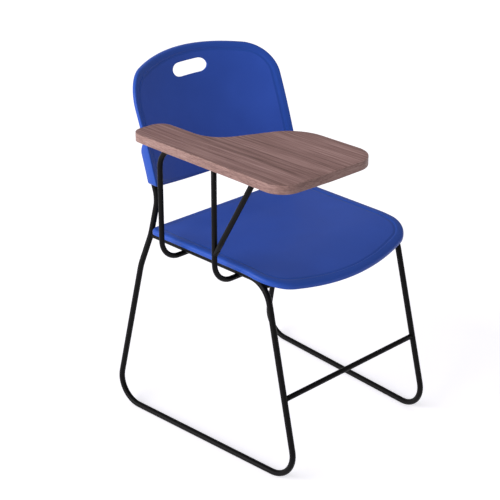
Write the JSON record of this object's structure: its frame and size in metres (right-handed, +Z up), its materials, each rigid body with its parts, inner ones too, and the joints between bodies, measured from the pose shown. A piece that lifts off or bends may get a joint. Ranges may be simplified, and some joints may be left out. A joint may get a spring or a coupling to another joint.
{
  "type": "tablet arm chair",
  "caption": "Stacking chair on a bent rod sled frame, with a moulded seat, a moulded back with a hand slot, and a fixed laminate writing tablet beside the sitter's right arm.",
  "frame": {"origin": "on the floor, midway between the two side frames and midway along their floor runners", "axes": "+Z up; -Y the way the sitter faces; -X to the sitter's right, the side with the writing tablet"},
  "size_m": [0.5285, 0.6026, 0.7586],
  "materials": {
    "frame_coating": "satin black powder coat",
    "blue_moulding": "fine pebble texture",
    "tablet_laminate": "satin wood pattern laminate",
    "tablet_edge": "satin wood pattern edge band",
    "tablet_board": "raw particle board",
    "tablet_backer": "plain phenolic backing sheet",
    "plated_screw": "bright zinc plate"
  },
  "bodies": {
    "root": {"right_side_frame": "frame_coating", "left_side_frame": "frame_coating", "front_crossbar": "frame_coating", "seat_front_cross_rod": "frame_coating", "seat_rear_cross_rod": "frame_coating", "seat_tab_front_right": "frame_coating", "seat_tab_front_left": "frame_coating", "seat_tab_rear_right": "frame_coating", "seat_tab_rear_left": "frame_coating", "seat_shell": "blue_moulding", "seat_screws": "plated_screw", "back_shell": "blue_moulding", "back_rivets": "plated_screw", "tablet_core": "tablet_board", "tablet_laminate": "tablet_laminate", "tablet_backer": "tablet_backer", "tablet_edge_band": "tablet_edge", "tablet_rear_rod": "frame_coating", "tablet_front_rod": "frame_coating", "tablet_brace_rod": "frame_coating", "tablet_bar_rear": "frame_coating", "tablet_bar_middle": "frame_coating", "tablet_bar_front": "frame_coating", "tablet_screws": "plated_screw"}
  },
  "joints": []
}
